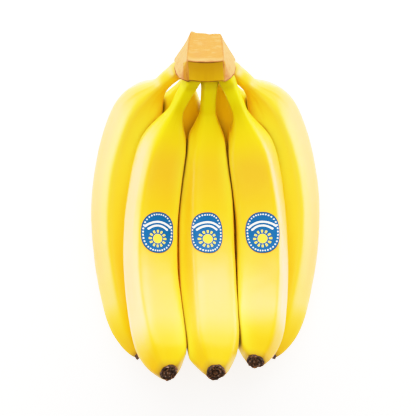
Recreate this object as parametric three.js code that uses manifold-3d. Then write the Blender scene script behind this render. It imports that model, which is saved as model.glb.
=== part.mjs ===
// A hand of seven bananas, still joined by the crown that was cut from the plant.
// It lies on the backs of its four lower fruits, with the hollow side of the curves and the tips up.
// Millimetres. X runs across the hand, Y towards the crown and Z up from the table.

import * as THREE from 'three';
import Module from 'manifold-3d';
import { mergeVertices } from 'three/addons/utils/BufferGeometryUtils.js';

const wasm = await Module();
wasm.setup();

// ---------------------------------------------------------------- driving dimensions

const SCAR_GAP = 0.3;           // clearance between a fruit's tip and its flower scar
const TABLE_FLAT = 0.5;         // how far the resting backs are flattened by the table
const TABLE_SIZE = [400, 400, 20];
const LYING_TILT = 0;           // degrees that the hand rocks back on its fruits, crown up

// The girth of a fruit. Lengths are measured along its middle line from the crown.
const STALK_FLARE = 0.8;        // extra radius where the stalk leaves the crown
const FLARE_REACH = 6;
const BODY_WIDEST = 0.62;       // place of the thickest girth, as a share of the length
const BODY_FALL = 0.52;         // how fast the body thins away from there
const TIP_RADIUS = 6.4;
const TIP_BLUNTNESS = 3.4;
const BEND_EVENNESS = -0.31;    // below 0 the middle of the fruit bends less than its ends
const SHOULDER_START = 20;      // the neck takes its own bend from here,
const SHOULDER_REACH = 45;      // over this length

// A banana's skin has five flat sides between five ridges. Each side is given by the direction
// it faces, in degrees round the fruit from the hollow side, and its distance from the middle.
const SIDES = [[0, 0.9], [78, 0.98], [146, 0.99], [-146, 0.99], [-78, 0.98]];
const RIDGES = [-43, 43, 111, 180, 249, 317];
const STEPS_BETWEEN_RIDGES = [4, 3, 4, 4, 3];
const RIDGE_SHARPNESS = 9;
const STALK_ROUNDING = 0.5;     // share of the ridges' height that the stalk still shows
const STEPS_ALONG = 26;

// Where each stalk leaves the crown, from the middle of the hand, and how it goes on:
// lean is degrees to the left, dip is degrees below level, and roll turns the hollow side.
// bend is the whole turn of the middle line, shoulder the extra turn at the neck, and rooted
// how far the stalk goes on into the crown. offset is how far the stalk lies to the hollow side
// of the middle line. stalk and body are radii, neck says where the stalk starts to widen, over
// what length and how sharply, and taper is the length of the rounded tip.
const OUTER_RIGHT = {
  root: [19.9, 97, 36.1], length: 240.3, offset: 4.1,
  lean: -56.6, dip: 46.8, roll: -71.2, bend: 76.7, shoulder: 13.6, twist: 10.7, rooted: 0,
  stalk: 5.3, body: 17.5, neck: [19, 20, 1.87], taper: 43.2,
};
const BACK_RIGHT = {
  root: [7, 97, 32.3], length: 219.5, offset: 0,
  lean: -31.1, dip: 64.3, roll: -33.8, bend: 81.7, shoulder: 16.2, twist: -1, rooted: 0,
  stalk: 5.1, body: 17.3, neck: [20, 22, 2.2], taper: 39,
};
const FINGERS = {
  front_left: {
    root: [-9.8, 83.4, 43.7], length: 223.5, offset: 0,
    lean: 33.2, dip: 44.9, roll: 37.8, bend: 89.1, shoulder: 8.9, twist: -0.9, rooted: 0,
    stalk: 4.9, body: 17.2, neck: [23.3, 20.8, 1.83], taper: 33.4,
  },
  front_center: {
    root: [3, 84.3, 39.7], length: 219.2, offset: 0,
    lean: 4, dip: 45.3, roll: 6.9, bend: 83.8, shoulder: 7.7, twist: 12.7, rooted: 2.5,
    stalk: 5.2, body: 17.6, neck: [24.4, 22.4, 1.4], taper: 38.7,
  },
  front_right: {
    root: [14.95, 84.3, 44.2], length: 210.6, offset: 0,
    lean: -26, dip: 44.6, roll: -29.6, bend: 77.7, shoulder: 6.5, twist: 13.7, rooted: 0,
    stalk: 4.9, body: 17.25, neck: [23.4, 22.9, 2.16], taper: 42,
  },
  outer_left: mirrored(OUTER_RIGHT),
  outer_right: OUTER_RIGHT,
  back_left: mirrored(BACK_RIGHT),
  back_right: BACK_RIGHT,
};

// The crown is a block that narrows upwards to the face where it was cut from the plant. Its
// corners are given by how far across and how far to the front they are, round from the left
// end of the front skin: one list at its base and one at the cut face.
const CROWN_BASE = [0, 93.3, 38];
const CROWN_DIP = 43;
const CROWN_HEIGHT = 18.6;
const CROWN_BASE_CORNERS = [
  [-10.4, 15], [12.5, 15], [16.1, 11.7], [19, 6.5], [20.8, -2], [21.4, -11],
  [17.5, -15.5], [-18, -15.5], [-22, -11], [-20.6, -2], [-18.2, 6.5], [-14.6, 12],
];
const CROWN_TOP_CORNERS = [
  [-11.3, 15.1], [11.7, 15.1], [12.3, 14.2], [12, 8], [11.6, -1], [11, -11],
  [10.4, -14.4], [-9.7, -16], [-10.4, -11], [-11.2, -1], [-11.6, 8], [-12, 14],
];
const UNDERSIDE_DEPTH = 3;      // how far the crown's underside bulges down between the stalks
const UNDERSIDE_INSET = 0.85;   // its size there, as a share of the base
const SOCKET_GAP = 0.4;         // clearance round the stalks, with a little for their facets
const SOCKET_REACH = 30;        // how far down the stalks the crown is cut clear of them
const SOCKET_STEPS = 6;

// The dry flower scar at the tip: distance beyond the fruit and radius of its turned profile.
const SCAR_PROFILE = [[0, 0], [0, 5.8], [1.3, 6.3], [2.8, 6], [3.1, 4.7], [2.2, 3.4], [2.5, 1.6], [2.5, 0]];
const SCAR_SIDES = 12;

// Oval paper labels on the three front fruits: distance from the crown, degrees round the fruit.
const LABEL = { length: 29, width: 22.5, thickness: 0.5, lift: 0.8, rings: 4, spokes: 24 };
const LABEL_PLACES = {
  front_left: { along: 118, around: 4 },
  front_center: { along: 114, around: 3 },
  front_right: { along: 117, around: -20 },
};

// ---------------------------------------------------------------- materials

function finish(color, roughness) {
  return new THREE.MeshStandardMaterial({ color, roughness, metalness: 0 });
}

const peel = () => finish('#f6c915', 0.45);
const cutCrown = () => finish('#e8bd78', 0.8);
const driedScar = () => finish('#3b2618', 0.95);
const labelPaper = () => finish('#1268ad', 0.4);

// ---------------------------------------------------------------- shapes

const radians = THREE.MathUtils.degToRad;

// The same fruit on the other side of the hand.
function mirrored(finger) {
  const [x, y, z] = finger.root;
  return {
    ...finger, root: [-x, y, z],
    lean: -finger.lean, roll: -finger.roll, twist: -finger.twist,
  };
}

// A closed body from rings of points that each go round the same way, the first ring's cap
// facing back along the path and the last one's facing on.
function loft(rings) {
  const around = rings[0].length;
  const last = rings.length - 1;
  const points = rings.flat();
  const faces = [];
  const ends = [0, last].map((ring) => {
    const middle = new THREE.Vector3();
    rings[ring].forEach((point) => middle.addScaledVector(point, 1 / around));
    return points.push(middle) - 1;
  });
  for (let i = 0; i < around; i += 1) {
    const next = (i + 1) % around;
    for (let ring = 0; ring < last; ring += 1) {
      const [a, b] = [ring * around + i, ring * around + next];
      faces.push(a, b, b + around, a, b + around, a + around);
    }
    faces.push(ends[0], next, i, ends[1], last * around + i, last * around + next);
  }
  return new THREE.BufferGeometry().setFromPoints(points).setIndex(faces);
}

// How far the skin stands from the middle line in one direction, as a share of the radius:
// the soft smallest distance to the five sides, rounded a little at the ridges.
function ridged(angle) {
  const sum = SIDES.reduce((total, [side, distance]) => {
    const facing = Math.max(0, Math.cos(radians(angle - side)));
    return total + (facing / distance) ** RIDGE_SHARPNESS;
  }, 0);
  return sum ** (-1 / RIDGE_SHARPNESS);
}

// The directions of a section's points: every ridge has one, with even steps between.
const SECTION_ANGLES = STEPS_BETWEEN_RIDGES.flatMap((steps, side) => (
  Array.from({ length: steps }, (_, i) => (
    THREE.MathUtils.lerp(RIDGES[side], RIDGES[side + 1], i / steps)
  ))
));

// How much of the neck's growth from stalk to body is done at a distance from the crown.
function neckShare({ neck: [start, reach, sharpness] }, along) {
  const reached = Math.max(0, along - start) / reach;
  return 1 - Math.exp(-(reached ** sharpness));
}

function fingerRadius(finger, along) {
  const { length, stalk, body, taper } = finger;
  const swollen = body * (1 - BODY_FALL * (along / length - BODY_WIDEST) ** 2);
  const flare = STALK_FLARE * Math.exp(-along / FLARE_REACH);
  const grown = stalk + flare + (swollen - stalk) * neckShare(finger, along);
  const tapered = THREE.MathUtils.clamp(1 - (length - along) / taper, 0, 1);
  return grown - (grown - TIP_RADIUS) * tapered ** TIP_BLUNTNESS;
}

// The middle line of a fruit in its own frame: it leaves the crown along -Y and turns towards +Z.
class FingerLine extends THREE.Curve {
  constructor({ bend, shoulder, length, offset, neck }) {
    super();
    Object.assign(this, { bend, shoulder, length, offset, neck });
    this.steps = 240;
    this.points = [new THREE.Vector3()];
    for (let i = 0; i < this.steps; i += 1) {
      const middle = this.getTangent((i + 0.5) / this.steps);
      this.points.push(this.points[i].clone().addScaledVector(middle, length / this.steps));
    }
  }

  turn(share) {
    const even = share + (BEND_EVENNESS / (2 * Math.PI)) * Math.sin(2 * Math.PI * share);
    const past = (share * this.length - SHOULDER_START) / SHOULDER_REACH;
    const atNeck = THREE.MathUtils.smoothstep(past, 0, 1);
    return radians(this.bend * even + this.shoulder * atNeck);
  }

  getTangent(share) {
    const turn = this.turn(share);
    return new THREE.Vector3(0, -Math.cos(turn), Math.sin(turn));
  }

  // Past either end the line runs straight on.
  getPoint(share) {
    const place = share * this.steps;
    const before = THREE.MathUtils.clamp(Math.floor(place), 0, this.steps - 1);
    return this.points[before].clone().lerp(this.points[before + 1], place - before);
  }

  // The point at a distance from the middle of the flesh, with angle 0 on the hollow side.
  pointAround(share, angle, distance) {
    const turn = this.turn(share);
    const inward = new THREE.Vector3(0, Math.sin(turn), Math.cos(turn));
    const shifted = this.offset * (1 - neckShare(this, share * this.length));
    return this.getPoint(share)
      .addScaledVector(inward, distance * Math.cos(radians(angle)) + shifted)
      .add(new THREE.Vector3(-distance * Math.sin(radians(angle)), 0, 0));
  }
}

function skinDistance(finger, along, angle) {
  const ridges = THREE.MathUtils.lerp(1 - STALK_ROUNDING, 1, neckShare(finger, along));
  const shape = THREE.MathUtils.lerp(1, ridged(angle), ridges);
  return fingerRadius(finger, along) * shape;
}

// The skin of a fruit from one distance along it to another, made fatter by extra.
function sleeveGeometry(finger, from, to, steps, extra = 0) {
  const line = new FingerLine(finger);
  const rings = Array.from({ length: steps + 1 }, (_, i) => {
    const along = THREE.MathUtils.lerp(from, to, i / steps);
    return SECTION_ANGLES.map((angle) => {
      const distance = skinDistance(finger, along, angle) + extra;
      return line.pointAround(along / finger.length, angle - finger.twist, distance);
    });
  });
  return loft(rings);
}

// One fruit with its stalk, as one body.
const bananaGeometry = (finger) => (
  sleeveGeometry(finger, -finger.rooted, finger.length, STEPS_ALONG)
);

// What is cut from the crown, so that the stalk stands clear in it.
const socketGeometry = (finger) => (
  sleeveGeometry(finger, -finger.rooted - SOCKET_GAP, SOCKET_REACH, SOCKET_STEPS, SOCKET_GAP)
);

// A label is a disc of rings and spokes, bent onto the skin, with a thin edge. The skin of the
// hollow side is shorter than the middle line, so the label's length is stretched to match.
function labelGeometry(finger, { along, around }) {
  const line = new FingerLine(finger);
  const aboveSkin = (down, angle, height) => {
    const distance = skinDistance(finger, down, angle + finger.twist) + height;
    return line.pointAround(down / finger.length, angle, distance);
  };
  const stretch = 2 / aboveSkin(along - 1, around, 0).distanceTo(aboveSkin(along + 1, around, 0));
  const ringAt = (height, reach) => Array.from({ length: LABEL.spokes }, (_, i) => {
    const spoke = (i / LABEL.spokes) * 2 * Math.PI;
    const down = along + reach * (LABEL.length / 2) * stretch * Math.cos(spoke);
    const across = reach * (LABEL.width / 2) * Math.sin(spoke);
    const angle = around + THREE.MathUtils.radToDeg(across / fingerRadius(finger, down));
    return aboveSkin(down, angle, height);
  });
  const reaches = Array.from({ length: LABEL.rings }, (_, i) => (i + 1) / LABEL.rings);
  const over = reaches.map((reach) => ringAt(LABEL.lift + LABEL.thickness, reach));
  const under = reaches.map((reach) => ringAt(LABEL.lift, reach)).reverse();
  return loft([...over, ...under]);
}

// The crown's height runs along +Y, and its corners are listed the way that loft wants them.
function crownGeometry() {
  const ringAt = (corners, height, share = 1) => corners.map(([across, front]) => (
    new THREE.Vector3(across * share, height, front * share)
  ));
  return loft([
    ringAt(CROWN_BASE_CORNERS, -UNDERSIDE_DEPTH, UNDERSIDE_INSET),
    ringAt(CROWN_BASE_CORNERS, 0),
    ringAt(CROWN_TOP_CORNERS, CROWN_HEIGHT),
  ]);
}

function scarGeometry() {
  const profile = SCAR_PROFILE.map(([height, radius]) => new THREE.Vector2(radius, height));
  return new THREE.LatheGeometry(profile, SCAR_SIDES);
}

// ---------------------------------------------------------------- joining and cutting

function solidOf(geometry) {
  const bare = geometry.clone();
  bare.deleteAttribute('normal');
  bare.deleteAttribute('uv');
  const merged = mergeVertices(bare);
  return new wasm.Manifold(new wasm.Mesh({
    numProp: 3,
    vertProperties: new Float32Array(merged.attributes.position.array),
    triVerts: new Uint32Array(merged.index.array),
  }));
}

function geometryOf(solid) {
  const { numProp, vertProperties, triVerts } = solid.getMesh();
  const geometry = new THREE.BufferGeometry();
  geometry.setAttribute('position', new THREE.BufferAttribute(vertProperties, numProp));
  geometry.setIndex(new THREE.BufferAttribute(triVerts, 1));
  return geometry;
}

// Takes a cutting geometry, given in the other object's frame, out of a mesh.
function cut(mesh, geometry, frame) {
  const toMesh = mesh.matrixWorld.clone().invert().multiply(frame);
  const tool = solidOf(geometry.clone().applyMatrix4(toMesh));
  mesh.geometry = geometryOf(solidOf(mesh.geometry).subtract(tool));
}

// ---------------------------------------------------------------- the hand

function named(name, geometry, material) {
  const mesh = new THREE.Mesh(geometry, material);
  mesh.name = name;
  return mesh;
}

// A fruit with the scar at its tip, and its label if it has one, in the fruit's own frame.
function fingerGroup(name, finger) {
  const group = new THREE.Group();
  group.position.set(...finger.root);
  group.rotation.set(radians(finger.dip), radians(finger.roll), radians(-finger.lean), 'ZXY');

  const line = new FingerLine(finger);
  const scar = named(`blossom_end_${name}`, scarGeometry(), driedScar());
  scar.position.copy(line.getPoint(1)).addScaledVector(line.getTangent(1), SCAR_GAP);
  scar.quaternion.setFromUnitVectors(new THREE.Vector3(0, 1, 0), line.getTangent(1));

  group.add(named(`banana_${name}`, bananaGeometry(finger), peel()), scar);
  if (LABEL_PLACES[name]) {
    group.add(named(`label_${name}`, labelGeometry(finger, LABEL_PLACES[name]), labelPaper()));
  }
  return group;
}

const hand = new THREE.Group();
const fingers = Object.entries(FINGERS).map(([name, finger]) => fingerGroup(name, finger));
const crown = named('crown', crownGeometry(), cutCrown());
crown.position.set(...CROWN_BASE);
crown.rotation.x = radians(CROWN_DIP);
hand.add(...fingers, crown);
hand.rotation.x = radians(LYING_TILT);

// The hand stands over the origin, sunk by the depth of its flats into the table at height 0.
const bounds = new THREE.Box3().setFromObject(hand, true);
const middle = bounds.getCenter(new THREE.Vector3());
hand.position.set(-middle.x, -middle.y, -bounds.min.z - TABLE_FLAT);
hand.updateMatrixWorld(true);

fingers.forEach((finger, i) => {
  cut(crown, socketGeometry(Object.values(FINGERS)[i]), finger.matrixWorld);
});

const table = new THREE.BoxGeometry(...TABLE_SIZE);
const underneath = new THREE.Matrix4().makeTranslation(0, 0, -TABLE_SIZE[2] / 2);
hand.traverse((piece) => {
  if (piece.isMesh && new THREE.Box3().setFromObject(piece, true).min.z < 0) {
    cut(piece, table, underneath);
  }
});

const group = new THREE.Group();
group.add(hand);

export default group;
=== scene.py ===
import math

import bpy
import numpy as np
from bpy.props import FloatProperty, FloatVectorProperty, IntProperty, PointerProperty
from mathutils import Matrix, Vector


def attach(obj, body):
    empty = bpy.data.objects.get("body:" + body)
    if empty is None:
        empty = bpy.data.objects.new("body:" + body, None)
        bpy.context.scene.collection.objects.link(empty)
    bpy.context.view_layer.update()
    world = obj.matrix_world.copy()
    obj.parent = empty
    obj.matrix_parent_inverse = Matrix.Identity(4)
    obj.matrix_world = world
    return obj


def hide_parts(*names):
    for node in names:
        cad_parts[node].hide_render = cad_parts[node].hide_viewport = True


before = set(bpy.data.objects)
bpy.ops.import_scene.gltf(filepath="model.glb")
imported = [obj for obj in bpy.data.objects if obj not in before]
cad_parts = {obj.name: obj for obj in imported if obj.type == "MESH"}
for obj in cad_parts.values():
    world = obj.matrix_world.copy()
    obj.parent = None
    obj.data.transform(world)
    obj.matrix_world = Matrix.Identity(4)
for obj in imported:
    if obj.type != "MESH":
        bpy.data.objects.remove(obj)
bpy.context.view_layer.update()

bl_info = {
    "name": "Hand of bananas",
    "version": (1, 0, 0),
    "blender": (4, 5, 0),
    "location": "3D View > Sidebar > Bananas",
    "description": "A hand of ripe bananas, lying on its backs and joined by its cut crown",
    "category": "Add Mesh",
}

MM = 0.001

# ------------------------------------------------------------ sizes and places, in millimetres

HAND_AT = (0.0, -1.207, 53.362)  # where the hand's own middle lies in the frame

STALK_FLARE = 0.8               # extra radius where the stalk leaves the crown
FLARE_REACH = 6.0
BODY_WIDEST = 0.62              # place of the thickest girth, as a share of the length
BODY_FALL = 0.52                # how fast the body thins away from there
TIP_RADIUS = 6.4                # of the fruit's end, under its scar
TIP_BLUNTNESS = 3.4             # a higher number gives a blunter end
BEND_EVENNESS = -0.31           # below 0 the middle of the fruit bends less than its ends
SHOULDER_START = 20.0           # where the neck starts to take its own bend,
SHOULDER_REACH = 45.0           # and over what length

# The five flat sides of the skin: the way each faces, in degrees round the fruit from its hollow
# side, and its distance from the middle line, as a share of the radius.
SIDES = ((0, 0.9), (78, 0.98), (146, 0.99), (-146, 0.99), (-78, 0.98))
RIDGE_SHARPNESS = 7.5           # a higher number gives sharper ridges between the sides
RIDGES = (-43, 43, 111, 180, -111)      # the directions of these ridges
STALK_ROUNDING = 0.5            # share of the ridges' height that the stalk loses
USUAL_RADIUS = 17.5             # of a fruit, for the scale of what is drawn on the skin
RIDGE_WIDTH = 1.8               # of the line of deeper yellow on a ridge
LINE_STEPS = 1200               # steps that the middle line is summed in,
GAP_STEPS = 80                  # and places on it that a gap is measured from
GREEN_SHARPNESS = 2.6           # a higher number gives the green a sharper lower end
CROWN_SHADE = 0.35              # how dark the painted shadow of the crown is on a stalk where it leaves it,
CROWN_SHADE_REACH = 4.0         # and how far that reaches
GAP_SHADE_REACH = 1.7            # how far from a neighbour the skin gets painted shade, a dark brown line
HIDDEN_SIDE = 45.0              # which side of a back fruit gets deeper painted shade, in degrees
PRESSED_REACH = 6.5             # how near a neighbour the skin swells towards it,
PRESSED_GAP = 0.5               # how much of the gap is kept,
PRESSED_SWELL = 1.8             # and the most that it swells, before that fades with the gap
# A deeper yellow is painted where the lights fall strongest, on the outer sides and on the lower
# half that holds the broad highlight: painted darkening of lit skin.
SIDE_LEAN = 10.0                # a fruit that leans less has no outer side
OUTER_FROM = 0.45               # how far sideways the skin faces where its outer yellow starts,
OUTER_FULL = 0.8                # and where it is full
LOW_FROM = 0.45                 # where the warmer yellow of the lower half starts,
LOW_FULL = 0.7                  # and where it is full, as shares of the length,
LOW_SHARE = 0.5                 # and how strong it is
UPPER_PLACE = 68.0              # where the shoulder is warmest,
UPPER_REACH = 30.0              # how far that reaches along the fruit,
UPPER_SHARE = 0.4               # and how strong it is
END_FROM = 0.68                 # where the outer yellow of a dull fruit starts to go,
END_FULL = 0.86                 # and where it has gone
SHINE_FROM = 0.35               # where the gloss of the upper body starts to grow,
SHINE_FULL = 0.68               # where it is full, as shares of the length,
UPPER_DULLNESS = 0.45           # and how much is missing before that
DULL_FROM = 18.0                # how far before the tip a dull fruit has lost its gloss,
DULL_REACH = 22.0               # and over what length

# The uneven skin: waves with their length along the fruit, turns round it and height, shallow
# dents, and creases of the neck with their turns round it and height.
PEEL_WAVES = (
    (95, 1, 1.0), (62, 2, 0.8), (41, 1, 0.6), (27, 3, 0.35), (16, 5, 0.18), (11, 4, 0.1),
)
DENTS = 9
DENT_SIZES = (5, 10)
DENT_DEPTHS = (0.3, 1.0)
DENTS_KEEP_OFF = (60, 25)       # length without dents at the crown and at the tip
NECK_CREASES = ((9, 0.35), (14, 0.3), (23, 0.2))
CREASES_AT = 34.0               # where the creases are deepest,
CREASES_REACH = 17.0            # and how far they reach
RELIEF_STARTS_OVER = 12.0       # length that the unevenness starts over at the crown,
RELIEF_ENDS_OVER = 10.0         # and that it ends over at the tip
PEEL_SEED, SCAR_SEED, CROWN_SEED = 11, 31, 5


def mirrored(finger):
    """The same fruit on the other side of the hand."""
    x, y, z = finger["root"]
    turned = {key: -finger[key] for key in ("lean", "roll", "twist")}
    return {**finger, "root": (-x, y, z), **turned}


# How a row of fruits looks. green is how green the stalks are and green_reach how far down the
# green goes; gloss is how glossy the skin is and dull how much of its gloss the end loses;
# facing is how far from a neighbour the skin is painted a paler yellow, as painted light
# in the shaded gap, and hidden how much further than usual its inner side gets painted shade.
FRONT_LOOK = dict(green=1.0, green_reach=46.0, gloss=1.0, dull=0.5, facing=6.5, hidden=0.0)
OUTER_LOOK = dict(green=0.12, green_reach=49.0, gloss=0.83, dull=0.9, facing=12.5, hidden=0.0)
# The back fruits' green runs far down them, as painted shade where they lie in the gaps behind the
# front fruits.
BACK_LOOK = dict(green=0.75, green_reach=75.0, gloss=1.0, dull=0.0, facing=8.0, hidden=9.0)

# root is where the stalk leaves the crown; lean is degrees to the left, dip degrees below level,
# roll turns the hollow side, bend is the whole turn and shoulder the extra turn at the neck.
# stalk and body are radii, neck says where the stalk starts to widen, over what length and how
# sharply, taper is the length of the rounded tip, sink how far the stalk is lowered at the crown
# and offset how far it lies to the hollow side.
OUTER_RIGHT = dict(
    root=(19.9, 97.0, 36.1), length=240.3, lean=-56.6, dip=46.8, roll=-71.2, bend=76.7,
    shoulder=13.6, twist=10.7, stalk=5.3, body=17.5, neck=(19.0, 20.0, 1.87), taper=43.2,
    sink=5.0, offset=4.1, **OUTER_LOOK,
)
BACK_RIGHT = dict(
    root=(7.0, 97.0, 32.3), length=219.5, lean=-31.1, dip=64.3, roll=-33.8, bend=81.7,
    shoulder=16.2, twist=-1.0, stalk=5.1, body=17.3, neck=(20.0, 22.0, 2.2), taper=39.0,
    sink=0.0, offset=0.0, **BACK_LOOK,
)
FINGERS = {
    "front_left": dict(
        root=(-9.8, 83.4, 43.7), length=223.5, lean=33.2, dip=44.9, roll=37.8, bend=89.1,
        shoulder=8.9, twist=-0.9, stalk=4.9, body=17.2, neck=(23.3, 20.8, 1.83), taper=33.4,
        sink=2.0, offset=0.0, **FRONT_LOOK,
    ),
    "front_center": dict(
        root=(3.0, 84.3, 39.7), length=219.2, lean=4.0, dip=45.3, roll=6.9, bend=83.8,
        shoulder=7.7, twist=12.7, stalk=5.2, body=17.6, neck=(24.4, 22.4, 1.4), taper=38.7,
        sink=0.0, offset=0.0, **FRONT_LOOK,
    ),
    "front_right": dict(
        root=(14.95, 84.3, 44.2), length=210.6, lean=-26.0, dip=44.6, roll=-29.6, bend=77.7,
        shoulder=6.5, twist=13.7, stalk=4.9, body=17.25, neck=(23.4, 22.9, 2.16), taper=42.0,
        sink=4.0, offset=0.0, **FRONT_LOOK,
    ),
    "outer_left": mirrored(OUTER_RIGHT),
    "outer_right": OUTER_RIGHT,
    "back_left": mirrored(BACK_RIGHT),
    "back_right": BACK_RIGHT,
}
SINK_REACH = 18.0               # how far from the crown a stalk starts to dip under its edge
STALK_ROOTING = 8.0             # how far the skin runs on into the crown,
STALK_DIVE = 3.5                # how far it bends inwards there
STALK_SHRINK = 0.22             # and what share of its radius it loses

CROWN_BASE = (0.0, 93.3, 38.0)  # where the middle of its base lies from the hand's middle
CROWN_DIP = 43.0                # how steeply its height rises, in degrees
CROWN_HEIGHT = 18.6
# Corners of the crown at its base and at its cut face: how far across and how far to the front,
# round from the left end of the front skin.
CROWN_BASE_CORNERS = (
    (-10.4, 15.4), (12.5, 15.4), (17.4, 11.0), (19.8, 6.5), (21.4, -2), (20.8, -11),
    (17.0, -15.5), (-17.5, -15.5), (-21.4, -11), (-21.5, -2), (-19.8, 6.5), (-16.8, 11.8),
)
CROWN_TOP_CORNERS = (
    (-11.3, 15.1), (11.7, 15.1), (12.3, 14.2), (12, 8), (11.6, -1), (11, -11),
    (10.4, -14.4), (-9.7, -16), (-10.4, -11), (-11.2, -1), (-11.6, 8), (-12, 14),
)
CROWN_SKIN_SIDES = (0, 6)       # the sides that still have their skin: the front and the back
CROWN_STRIPS = (-14.9, 13.7)    # how far to each side the torn strips beside it reach,
STRIP_TOP = 3.0                 # and how far beyond the crown's root they start
FRONT_BOW = 1.5                 # how far the front skin bulges in the middle
FRONT_RISE = 1.4                # how much higher its lower edge is than the crown's base
UNDERSIDE_DEPTH = 3.0           # how far the underside bulges down between the stalks
LIP = 0.4                       # how far the cut face stands out over the front skin
BASE_FILLET = 0.8
TOP_FILLET = 0.6
CROWN_COLUMNS = 420
UNDER_ROWS, FILLET_ROWS, WALL_ROWS, CUT_ROWS = 26, 5, 62, 36
INNERMOST_ROW = 0.03            # the share of the outline that is left in the middle
CORNER_PASSES = 10              # more passes give rounder corners
MASK_PASSES = 2                 # more passes give a softer border between skin and cut
LIP_REACH = 0.7
# The peak and the notch of the cut face's back edge: how far across, reach and height.
BACK_PEAK = (-9.0, 2.4, 1.2)
BACK_NOTCH = (2.5, 1.6, -0.6)
BACK_EDGE_AT = 14.0             # how far back that edge lies
TORN_FIBRES = ((9.0, 1.0), (4.1, 0.6), (1.9, 0.4), (1.1, 0.25))  # size and strength
USUAL_DRAW = 1.7                # about the length of a vector of three normal draws
RIM_REACH = 0.8                 # how far the cut's browned rim reaches
STRIP_EDGE = 0.9                # over what width the torn strips end
# The browned line at the crown's foot and the painted shadow line under its lip: how far from
# the lower edge of its skin or below its cut face, and reach.
FOOT_LINE = (0.4, 1.0)
LIP_LINE = (1.3, 0.5)
FOOT_BROWN, RIM_BROWN, SEAM_BROWN = 1.2, 0.5, 0.7
CUT_FRONT = (14.6, 2.4)         # where the cut face's own tone ends in front, over what width

# The flower scar's turned profile, from the fruit over its rim to its middle: radius and height.
SCAR_PROFILE = (
    (5.5, -0.9), (5.9, 0.0), (6.1, 0.7), (6.15, 1.3), (6.0, 1.9), (5.5, 2.1), (5.0, 1.5),
    (4.4, 1.2), (3.8, 1.7), (3.2, 1.9), (2.6, 1.2), (2.0, 1.0), (1.4, 1.6), (0.8, 1.9), (0.3, 1.8),
)
SCAR_SEAT = -0.5                # where the profile's height 0 lies, from the fruit's end
SCAR_ROWS, SCAR_COLUMNS = 72, 132
RIM_PLACE, RIM_WIDTH = 0.36, 0.14       # of the raised rim, as shares of the profile
CRUMBS_FROM = 0.12                      # the share of the profile where the crumbs start
RAGGED_SINES = ((2, 0.7), (3, 0.7), (5, 0.6), (8, 0.4), (13, 0.3))      # turns and strength
CRUMB_SINES = ((7, 9, 0.7), (12, 16, 0.6), (21, 25, 0.4))   # turns, waves along and strength
HORN_PLACES = (20, 340)                 # where the torn horn on the rim may stand,
HORN_WIDTH = 9.0                        # and its width, both in degrees
# How much the sines, the crumbs and the horn add to the radius and to the height.
WIDENED_BY = (0.04, 0.1, 0.9)
RAISED_BY = (0.4, 0.5, 0.6)
RAISED_FULL = 2.6                       # the height where the tissue is palest
TIP_SLANT = 0.2                 # how far the fruit's end leans to the hollow side,
SLANT_REACH = 16.0              # over the last part of its length

LABEL_SIZE = (21.2, 28.4)
LABEL_ROUNDNESS = 2.4           # 2 is an ellipse, and higher numbers fill its corners
LABEL_RIM = 0.03                # share of the label that its darker edge takes
LABEL_ROWS, LABEL_UNDER_ROWS, LABEL_COLUMNS = 86, 24, 256
LABEL_MIDDLE = 0.004            # the share of the label that its innermost row takes
PAPER_EDGE = 0.06               # how much lower the label's cut edge is than its face,
UNDER_PAPER = 0.02              # and the height of its underside over the skin
SUN_HEIGHT = -4.2               # of the sun's middle over the label's
SUN_RADIUS = 3.2
RAYS, RAY_NARROWNESS = 12, 0.2
RAYS_FROM, RAYS_TO = 4.2, 6.0
ARC_RADII = (9.0, 11.6)         # of the two arcs round the sun,
ARC_HALF_WIDTH = 0.55
ARC_SPREAD = 48.0               # and how far to each side of straight up they reach, in degrees
DOTS = 36
DOT_RADIUS = 0.42
DOT_RING = 0.44                 # how far out the dots stand, as a share of the label's size
# How far down its fruit the middle of each label lies, and how many degrees round it.
LABEL_PLACES = {
    "front_left": (119.2, 4),
    "front_center": (115.2, 3),
    "front_right": (118.2, -20),
}

# ------------------------------------------------------------ the stage, in metres

FLOOR_HALF = 3.0
LIT_PLACE = (0.0, 0.0, 0.05)    # what the large lights are turned to
# Place and size of each light.
KEY_LIGHT = ((0.0, 0.95, 0.79), (2.0, 0.85))
FILL_LIGHT = ((0.0, -0.8, 0.9), (1.8, 0.8))
TOP_LIGHT = ((0.0, 0.0, 1.3), (1.0, 1.0))
SIDE_LIGHT = ((0.32, 0.145, 0.08), (0.51, 0.16))
CAMERA_OFFSET = 0.0019          # how far the camera stands to the right of the hand's middle
SENSOR_WIDTH = 36.0             # in millimetres, as usual
# A film-like shoulder: brightness up to 0.55 stays, and the rest up to 2.4 is drawn in to end at
# white. Each point is a share of 2.4 and what it becomes.
TONE_WHITE = 2.4
TONE_CURVE = (
    (0.06, 0.144), (0.125, 0.3), (0.229, 0.55), (0.3125, 0.687), (0.4167, 0.801),
    (0.5417, 0.885), (0.7083, 0.95),
)

# ------------------------------------------------------------ settings that a user would change


def linear(code):
    """An sRGB hex colour as linear red, green, blue and alpha: a power of 2.4, straight when
    dark."""
    channels = np.array([int(code[i:i + 2], 16) for i in (1, 3, 5)]) / 255
    bright = ((channels + 0.055) / 1.055) ** 2.4
    return (*np.where(channels <= 0.04045, channels / 12.92, bright).tolist(), 1.0)


def colour(name, code, description):
    """A colour that a user can change."""
    return FloatVectorProperty(
        name=name, description=description, subtype="COLOR", size=4, min=0.0, max=1.0,
        default=linear(code),
    )


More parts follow.
